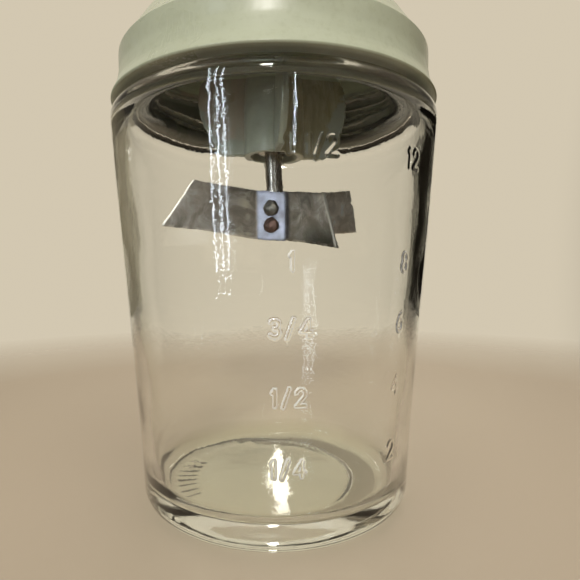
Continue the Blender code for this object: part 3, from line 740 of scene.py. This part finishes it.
def make_jar():
    sections = jar_profile()
    ends = [0]
    for section in sections:
        ends.append(ends[-1] + len(section))
    inside, rim, neck, shoulder, wall, base = (slice(a, b) for a, b in zip(ends, ends[1:]))

    def shift(radius, height, azimuth):
        out = np.zeros_like(radius)
        up = np.zeros_like(radius)
        around = np.broadcast_to(azimuth, radius.shape)
        out[wall] += raised_marks(around[wall], height[wall])
        out[neck] += thread_height(around[neck], height[neck], THREAD_MIDDLE, 1.5)
        uneven = slice(6, inside.stop - 8)
        out[uneven] += wall_waves(around[uneven], height[uneven])
        up[base] = base_relief(radius[base], around[base], height[base])
        return out, up

    jar = turned("jar_body", sum(sections, []), jar_angles(), False, shift)
    finish(jar, "jar", GLASS, "glass_jar")
    paint_jar(jar)


make_jar()


# ---------------------------------------------------------------- lid
def make_band():
    low = BAND_LOW
    outline = [
        (35.0, BAND_HIGH, 0.25), (36.1, BAND_HIGH, 0.4), (37.7, 121.6, 6.0), (39.2, 119.4, 6.0),
        (41.1, 117.1, 0.35), (41.1, low + 7.0, 8.0), (41.75, low + 3.4, 8.0), (43.2, low + 0.45, 0.3),
        (42.9, low, 0.25), (38.9, low, 0.3), (38.5, low + 0.6, 0.3), (38.5, 117.4, 0.5), (37.3, 120.2, 2.0),
        (36.3, 122.2, 0.3), (35.0, 122.2, 0.2),
    ]
    profile = spread(rounded(outline, True, 12), 0.5, True)

    def shift(radius, height, azimuth):
        inside = (radius < 38.6) & (height < 121.0) & (height > low + 0.7)
        around = np.broadcast_to(azimuth, radius.shape)
        rise = thread_height(around, height, THREAD_MIDDLE - THREAD_PITCH / 2, 1.4)
        return -rise * inside, np.zeros_like(radius)

    band = turned("screw_band", profile, ring_angles(176), True, shift, 60)
    finish(band, "lid", GREEN_BAND, "lid_band")


def make_rib(number):
    """One of the four ribs round the dome's well: an upright plate with softened edges."""
    outline = [
        (7.4, 0.0, 0), (14.6, 0.0, 1.2), (17.4, 4.2, 8), (19.4, 7.6, 8), (20.6, 10.6, 8), (21.0, 14.0, 8),
        (21.2, 43.4, 0), (7.4, 45.6, 0),
    ]
    side = spread(rounded(outline, True, 12), 1.2, True)
    centre = np.mean(side, axis=0)
    turn = RIB_TURN + number * math.pi / 2
    half, edge = 0.9, 0.3
    points, faces = [], []
    for across, inset in ((-half, edge), (-half + edge, 0.0), (half - edge, 0.0), (half, edge)):
        for x, z in side:
            away = centre - np.array((x, z))
            away = away / np.linalg.norm(away) * inset
            out = x + away[0]
            points.append((
                out * math.sin(turn) + across * math.cos(turn),
                -out * math.cos(turn) + across * math.sin(turn),
                z + away[1] + DOME_LOW,
            ))
    n = len(side)
    for a in range(3):
        for j in range(n):
            k = (j + 1) % n
            faces.append([a * n + j, a * n + k, (a + 1) * n + k, (a + 1) * n + j])
    faces.append(list(range(n)))
    faces.append(list(range(3 * n, 4 * n)))
    return mesh_object(f"rib_{number}", points, faces)


def make_dome():
    top = DOME_HIGH
    outline = [
        (7.0, top - 0.5, 0.5), (7.6, top, 0.4), (10.8, top, 1.1), (10.8, 142.6, 1.6), (14.0, 141.0, 4.0),
        (20.0, 139.4, 14.0), (26.0, 136.6, 14.0), (30.4, 133.4, 8.0), (32.0, 129.4, 10.0),
        (33.5, 126.2, 6.0), (34.4, 124.2, 0.6), (34.4, 121.9, 0.2), (36.0, 121.9, 0.2), (36.0, 120.4, 0.2),
        (32.0, 120.4, 0.5), (31.3, 124.0, 4.0), (29.8, 127.2, 8.0), (28.2, 131.2, 6.0), (23.8, 134.4, 10.0),
        (17.8, 137.2, 10.0), (12.0, 138.9, 3.0), (8.9, 138.4, 1.0), (8.4, 136.6, 0.5),
        (8.4, DOME_LOW, 0.35), (6.6, DOME_LOW, 0.3), (6.6, 97.2, 0.2), (3.8, 97.2, 0.1), (3.8, 99.6, 0.1),
        (6.9, 99.6, 0.3),
    ]
    profile = spread(rounded(outline, True, 10), 0.9, True)
    dome = turned("lid_shell", profile, ring_angles(144), True)
    for number in range(4):
        settle(dome, make_rib(number))
    dome.data.set_sharp_from_angle(angle=math.radians(40))
    finish(dome, "lid", GREEN_DOME, "lid_dome")


make_band()
make_dome()


def washer(name, node, inner, outer, body, material, edge=0.2):
    z0, z1 = heights(node)
    outline = [(outer, z1, edge), (outer, z0, edge), (inner, z0, edge / 2), (inner, z1, edge / 2)]
    piece = turned(name, spread(rounded(outline, True, 18), 0.8, True), ring_angles(96), True, None, 35)
    finish(piece, body, material, node)


washer("seal_ring", "lid_seal", 32.6, 36.8, "seal", RUBBER, 0.3)
washer("spring_seat_washer", "spring_seat", 3.0, 6.5, "lid", WIRE)
washer("spring_cap_washer", "spring_cap", 3.0, 7.6, "press", WIRE, 0.3)
washer("recess_washer", "stop_washer", 2.7, 5.9, "plunger", STEEL)


def make_bush():
    z0, z1 = heights("guide_bush")
    outline = [
        (5.6, z1, 0.25), (5.6, z1 - 1.0, 0.15), (3.5, z1 - 1.0, 0.1), (3.5, z0, 0.2), (2.45, z0, 0.15),
        (2.45, z1, 0.3),
    ]
    profile = spread(rounded(outline, True, 18), 0.6, True)
    bush = turned("shaft_bush", profile, ring_angles(96), True, None, 35)
    finish(bush, "lid", NYLON, "guide_bush")


make_bush()


# ---------------------------------------------------------------- plunger
def make_spring():
    """The coil, with its dead turns lying close together at both ends."""
    z0, z1 = heights("return_spring")
    wire, mean, turns, dead = 0.7, 5.6, 15, 1.5
    per_turn = 40
    low, high = z0 + wire, z1 - wire
    lift = dead * 1.5
    path = []
    for i in range(turns * per_turn + 1):
        t = i / per_turn
        if t < dead:
            z = low + lift * t / dead
        elif t > turns - dead:
            z = high - lift * (turns - t) / dead
        else:
            z = low + lift + (high - low - 2 * lift) * (t - dead) / (turns - 2 * dead)
        a = math.tau * t
        path.append((mean * math.cos(a), mean * math.sin(a), z))
    spring = tube("coil_spring", path, wire)
    finish(spring, "lid", WIRE, "return_spring")
    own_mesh(spring)


def hub_matrix(front=True):
    """Turns a shape made in front of the shaft, at -Y, to lie on its front or its rear flat."""
    return Matrix.Rotation(-YAW if front else math.pi - YAW, 4, "Z")


def make_shaft():
    """A rod with a groove for the clip, and two flats cut below FLAT_TOP for the blades."""
    z0, z1 = heights("shaft")
    outline = [
        (0.0, z1, 0), (2.4, z1, 0.4), (2.4, 95.8, 0.08), (1.9, 95.8, 0.05), (1.9, 94.7, 0.05),
        (2.4, 94.7, 0.08), (2.4, z0, 0.4), (0.0, z0, 0),
    ]
    shaft = turned("shaft_rod", spread(rounded(outline, False, 15), 2.0), ring_angles(64), False)
    half = 4.0
    for sign in (1, -1):
        corners = []
        for z in (z0 - 1, FLAT_TOP):
            for x, y in ((-half, FLAT_HALF), (half, FLAT_HALF), (half, half), (-half, half)):
                corners.append(tuple(hub_matrix() @ Vector((x, y * sign, z))))
        faces = [[0, 1, 2, 3], [4, 5, 6, 7], [0, 1, 5, 4], [1, 2, 6, 5], [2, 3, 7, 6], [3, 0, 4, 7]]
        settle(shaft, mesh_object(f"flat_{sign}", corners, faces, False), "DIFFERENCE")
    shaft.data.set_sharp_from_angle(angle=math.radians(35))
    finish(shaft, "plunger", STEEL, "shaft")


def strip_line(wings, bottom, slant):
    """The strip from its left tip to its right: its lower and upper edge, and the distance along it."""
    halves = []
    for sign, (bend, low_length, high_length, rise) in zip((-1, 1), wings):
        half = []
        for k in range(5):
            x = HUB_FLAT if k == 4 else HUB_HALF * k / 4
            half.append((sign * x, 0.0, sign * x, 0.0, x, 0.0))
        for k in range(1, 9):
            a = bend * k / 8
            x = HUB_FLAT + BEND_RADIUS * math.sin(a)
            y = -BEND_RADIUS * (1 - math.cos(a))
            half.append((sign * x, y, sign * x, y, HUB_FLAT + BEND_RADIUS * a, 0.0))
        x, y, s = abs(half[-1][0]), half[-1][1], half[-1][4]
        for k in range(1, 25):
            t = k / 24
            low, high = low_length * t, high_length * t
            half.append((
                sign * (x + low * math.cos(bend)), y - low * math.sin(bend),
                sign * (x + high * math.cos(bend)), y - high * math.sin(bend),
                s + low, t,
            ))
        halves.append([(p, sign, rise, high_length / low_length) for p in half])
    rows = []
    for (x0, y0, x1, y1, s, t), sign, rise, share in list(reversed(halves[0])) + halves[1][1:]:
        climb = slant * max(-HUB_HALF, min(HUB_HALF, x0))
        low = (x0, y0, bottom + rise * t + climb)
        high = (x1, y1, bottom + BLADE_HEIGHT + rise * t * share + climb)
        rows.append((low, high, sign * s))
    return rows


def make_blade(name, node, front, wings, bottom, slant):
    rows = strip_line(wings, bottom, slant)
    up = 13
    middle = FLAT_HALF + BLADE_GAP + BLADE_THICKNESS / 2
    matrix = hub_matrix(front) @ Matrix.Translation((0, -middle, 0))
    points, marks = [], []
    for low, high, s in rows:
        for j in range(up + 1):
            t = j / up
            points.append(tuple(matrix @ (Vector(low) * (1 - t) + Vector(high) * t)))
            marks.append((s * MM, t * BLADE_HEIGHT * MM))
    faces = []
    for i in range(len(rows) - 1):
        for j in range(up):
            a = i * (up + 1) + j
            faces.append([a, a + up + 1, a + up + 2, a + 1])
    mesh = bpy.data.meshes.new(name)
    mesh.from_pydata((np.array(points) * MM).tolist(), [], faces)
    layer = mesh.uv_layers.new(name="strip")
    for loop in mesh.loops:
        layer.data[loop.index].uv = marks[loop.vertex_index]
    mesh.shade_smooth()
    blade = bpy.data.objects.new(name, mesh)
    bpy.context.scene.collection.objects.link(blade)
    solidify = blade.modifiers.new("thickness", "SOLIDIFY")
    solidify.thickness = BLADE_THICKNESS * MM
    solidify.offset = 0.0
    bevel = blade.modifiers.new("edges", "BEVEL")
    bevel.width = 0.14 * MM
    bevel.segments = 2
    bevel.limit_method = "ANGLE"
    bevel.angle_limit = math.radians(50)
    made = evaluated_mesh(blade)
    blade.modifiers.clear()
    blade.data = made
    made.set_sharp_from_angle(angle=math.radians(40))
    finish(blade, "plunger", BLADE_FRONT if front else BLADE_REAR, node)


def make_rivet(name, node, material):
    """A rivet along the hub's Y axis, its two round heads a little dented by the hammer."""
    grip = FLAT_HALF + BLADE_THICKNESS + 2 * BLADE_GAP
    head, shank = 2.1, 1.2
    upper = arc(0.0, grip + 0.1, head, 0.81, 90, 10, 8)
    upper += [(head, grip + 0.12), (head - 0.05, grip), (shank, grip)]
    upper[0] = (0.0, upper[0][1])
    profile = upper + [(r, -y) for r, y in reversed(upper)]

    def shift(radius, height, azimuth):
        dent = 0.05 * np.sin(3 * azimuth + radius * 2.1) * (radius / head)
        return dent, 0.06 * np.sin(radius * 3.0 + 2 * azimuth) * np.sign(height) * (radius < head - 0.2)

    rivet = turned(name, spread(profile, 0.6), ring_angles(40), False, shift, 50)
    middle = Matrix.Translation((0, 0, sum(heights(node)) / 2 * MM))
    rivet.data.transform(middle @ hub_matrix() @ Matrix.Rotation(math.pi / 2, 4, "X"))
    finish(rivet, "plunger", material, node)


def make_clip():
    """A flat ring with a gap on one side."""
    z0, z1 = heights("stop_clip")
    inner, outer, edge = 2.0, 4.3, 0.12
    section = [
        (inner, z0), (outer - edge, z0), (outer, z0 + edge), (outer, z1 - edge), (outer - edge, z1),
        (inner, z1),
    ]
    n = len(section)
    steps = 48
    gap = math.radians(42)
    points, faces = [], []
    for i in range(steps + 1):
        a = gap + (math.tau - 2 * gap) * i / steps
        points += [(r * math.cos(a), r * math.sin(a), z) for r, z in section]
    for i in range(steps):
        for j in range(n):
            k = (j + 1) % n
            faces.append([i * n + j, i * n + k, (i + 1) * n + k, (i + 1) * n + j])
    faces.append(list(range(n)))
    faces.append([steps * n + j for j in range(n)])
    clip = mesh_object("groove_clip", points, faces)
    clip.data.set_sharp_from_angle(angle=math.radians(35))
    finish(clip, "plunger", STEEL, "stop_clip")


def make_knob_shell():
    z0, z1 = heights("knob_shell")
    tall = z1 - z0
    outline = [
        (0.0, tall, 0), (6.0, tall - 0.4, 20), (11.0, tall - 1.9, 14), (15.0, tall - 4.8, 10),
        (17.9, tall - 8.6, 8), (19.0, tall - 12.4, 6), (18.6, tall - 15.4, 6), (17.9, tall - 18.0, 3),
        (17.9, tall - 20.6, 0.8), (17.2, 0.0, 0.6), (15.9, 0.0, 0.3), (15.9, 2.7, 0.3), (15.4, 6.8, 2),
        (16.4, 9.8, 4), (15.4, 12.8, 4), (12.8, 15.8, 4), (9.4, 17.9, 4), (5.0, 19.2, 4), (0.0, 19.5, 0),
    ]
    profile = [(r, z + z0) for r, z in spread(rounded(outline, False, 8), 0.9)]
    shell = turned("knob_cap", profile, ring_angles(128), False, None, 50)
    finish(shell, "plunger", GREEN, "knob_shell")


def make_knob_base():
    """The knob's base plate and socket, and the cross pin through the socket and the shaft."""
    z0, z1 = heights("knob_base")
    outline = [
        (4.8, z1, 0.5), (4.8, z0 + 2.4, 0.8), (15.6, z0 + 2.4, 0.3), (15.6, z0, 0.5), (2.7, z0, 0.3),
        (2.7, z1, 0.2),
    ]
    base = turned("knob_plate", spread(rounded(outline, True, 15), 1.0, True), ring_angles(112), True)
    middle = Matrix.Translation((0, 0, sum(heights("knob_pin")) / 2 * MM))
    lengthwise = middle @ hub_matrix() @ Matrix.Rotation(math.pi / 2, 4, "X")
    hole = turned("pin_hole", [(0, 7), (1.3, 7), (1.3, -7), (0, -7)], ring_angles(32), False)
    hole.data.transform(lengthwise)
    settle(base, hole, "DIFFERENCE")
    base.data.set_sharp_from_angle(angle=math.radians(40))
    finish(base, "plunger", GREEN, "knob_base")
    rod = spread(rounded([(0, 4.8, 0), (1.0, 4.8, 0.2), (1.0, -4.8, 0.2), (0, -4.8, 0)], False, 20), 1.2)
    pin = turned("cross_pin", rod, ring_angles(32), False, None, 40)
    pin.data.transform(lengthwise)
    finish(pin, "plunger", STEEL, "knob_pin")


make_spring()
make_shaft()
make_clip()
make_knob_shell()
make_knob_base()
make_blade("blade_front", "front_blade", True, FRONT_WINGS, BLADE_BOTTOM, FRONT_SLANT)
make_blade("blade_rear", "rear_blade", False, REAR_WINGS, BLADE_BOTTOM + REAR_LIFT, 0.0)
make_rivet("rivet_low", "lower_rivet", RIVET_LOW)
make_rivet("rivet_high", "upper_rivet", RIVET_HIGH)


# ---------------------------------------------------------------- stage
# From here on lengths are in metres, apart from the camera's sensor and lens, which are in millimetres.
FLOOR_FADE = (0.20, 0.40)
FLOOR_REACH = 0.6
BACKDROP_COLOUR = (0.65, 0.575, 0.44)
COOL = (0.80, 0.90, 1.0)
WARM = (1.0, 0.95, 0.88)
SENSOR = 36.0
LENS = 29.172413
SHIFT = 0.02724138
CAMERA_AT = (-0.00011, -0.13319, 0.06148)
TILT_DOWN = math.radians(1.95)
ROLL = math.radians(-0.30)


def stage_sheet(name, corners, material):
    """A flat sheet that isn't part of the object."""
    mesh = bpy.data.meshes.new(name)
    mesh.from_pydata(corners, [], [list(range(len(corners)))])
    mesh.materials.append(material)
    sheet = bpy.data.objects.new(name, mesh)
    bpy.context.scene.collection.objects.link(sheet)
    sheet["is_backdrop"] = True
    return sheet


def make_floor():
    """A pale round floor that fades into the backdrop, so no horizon crosses the glass."""
    s = Shader("floor_finish", (0.40, 0.335, 0.255), 0.6)
    s.set("Specular IOR Level", 0.2)
    clear = s.node("ShaderNodeBsdfTransparent")
    choose = s.node("ShaderNodeMixShader")
    s.link(s.range(s.radius(), *FLOOR_FADE), choose.inputs["Fac"])
    s.link(s.main.outputs["BSDF"], choose.inputs[1])
    s.link(clear.outputs["BSDF"], choose.inputs[2])
    s.link(choose.outputs["Shader"], s.tree.nodes["Material Output"].inputs["Surface"])
    rim = [(FLOOR_REACH * math.cos(a), FLOOR_REACH * math.sin(a), 0) for a in ring_angles(96)]
    stage_sheet("floor", rim, s.material)


make_floor()


def make_backdrop():
    """A plain warm backdrop all round: bright behind the object, dim at its sides and in front."""
    world = bpy.data.worlds.new("studio")
    bpy.context.scene.world = world
    world.use_nodes = True
    tree = world.node_tree
    background = tree.nodes["Background"]
    direction = tree.nodes.new("ShaderNodeTexCoord").outputs["Generated"]
    parts = tree.nodes.new("ShaderNodeSeparateXYZ")
    tree.links.new(direction, parts.inputs["Vector"])

    def band(source, low, high, to_low, to_high):
        made = tree.nodes.new("ShaderNodeMapRange")
        made.interpolation_type = "SMOOTHSTEP"
        for socket, value in zip(made.inputs[1:5], (low, high, to_low, to_high)):
            socket.default_value = value
        tree.links.new(source, made.inputs["Value"])
        return made.outputs["Result"]

    def product(a, b):
        made = tree.nodes.new("ShaderNodeMath")
        made.operation = "MULTIPLY"
        tree.links.new(a, made.inputs[0])
        tree.links.new(b, made.inputs[1])
        return made.outputs["Value"]

    depth = band(parts.outputs["Y"], -0.35, 0.75, 0.22, 1.0)
    right = band(parts.outputs["X"], 0.50, 0.72, 1.0, 0.22)
    left = band(parts.outputs["X"], -0.50, -0.80, 1.0, 0.28)
    tree.links.new(product(depth, product(right, left)), background.inputs["Strength"])
    background.inputs["Color"].default_value = (*BACKDROP_COLOUR, 1)


make_backdrop()


def panel(name, azimuth, distance, height, wide, tall, power, colour, shine=True, through=True):
    """A rectangular light that faces the object; shine and through say where it shows.

    Shine is for reflections, and through is for what is seen through the glass.
    """
    light = bpy.data.lights.new(name, "AREA")
    light.shape = "RECTANGLE"
    light.size = wide
    light.size_y = tall
    light.energy = power
    light.color = colour
    lamp = bpy.data.objects.new(name, light)
    bpy.context.scene.collection.objects.link(lamp)
    a = math.radians(azimuth)
    lamp.location = (distance * math.sin(a), -distance * math.cos(a), height)
    lamp.rotation_euler = (Vector((0, 0, 0.08)) - lamp.location).to_track_quat("-Z", "Y").to_euler()
    lamp.visible_glossy = shine
    lamp.visible_transmission = through


def card(name, start, end, distance, height, tone):
    """A dark card behind the object and to one side, shown only by the glass, whose edges it darkens."""
    s = Shader(name + "_finish", tone, 0.9)
    s.set("Specular IOR Level", 0.0)
    corners = []
    for azimuth, z in ((start, 0.001), (end, 0.001), (end, height), (start, height)):
        a = math.radians(azimuth)
        corners.append((distance * math.sin(a), distance * math.cos(a), z))
    sheet = stage_sheet(name, corners, s.material)
    sheet.visible_camera = False
    sheet.visible_diffuse = False
    sheet.visible_shadow = False


for number, azimuth in enumerate((-31, -35, -40)):
    panel(f"window_{number}", azimuth, 1.3, 0.30, 0.022, 0.9, 1.5, COOL)
panel("slit", 13, 1.3, 0.36, 0.008, 0.26, 0.5, COOL)
panel("key", -4, 1.2, 0.80, 0.14, 0.14, 8, (1.0, 0.96, 0.9))
panel("overhead", 10, 0.5, 1.4, 1.0, 1.0, 12, WARM, shine=False, through=False)
panel("backfill", 165, 1.2, 0.7, 1.2, 0.8, 7, WARM, shine=False, through=False)
panel("glint", 179.2, 1.25, 0.66, 0.04, 0.26, 1.0, WARM)
card("right_card", 36, 80, 0.45, 0.23, (0.012, 0.010, 0.007))
card("left_card", -37, -70, 0.45, 0.23, (0.32, 0.29, 0.21))

camera_data = bpy.data.cameras.new("camera")
camera_data.lens = LENS
camera_data.sensor_width = SENSOR
camera_data.shift_x = SHIFT
camera_data.clip_start = 0.004
camera = bpy.data.objects.new("camera", camera_data)
bpy.context.scene.collection.objects.link(camera)
camera.location = CAMERA_AT
upright = Matrix.Rotation(math.pi / 2 - TILT_DOWN, 4, "X")
camera.rotation_euler = (upright @ Matrix.Rotation(ROLL, 4, "Z")).to_euler()
bpy.context.scene.camera = camera
bpy.context.scene.view_settings.view_transform = "Standard"

VISUAL_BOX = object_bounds()


def plain(value):
    if hasattr(value, "__len__"):
        return [plain(v) for v in value]
    return float(value)


{"cad": plain(CAD_BOX), "visual": plain(VISUAL_BOX)}
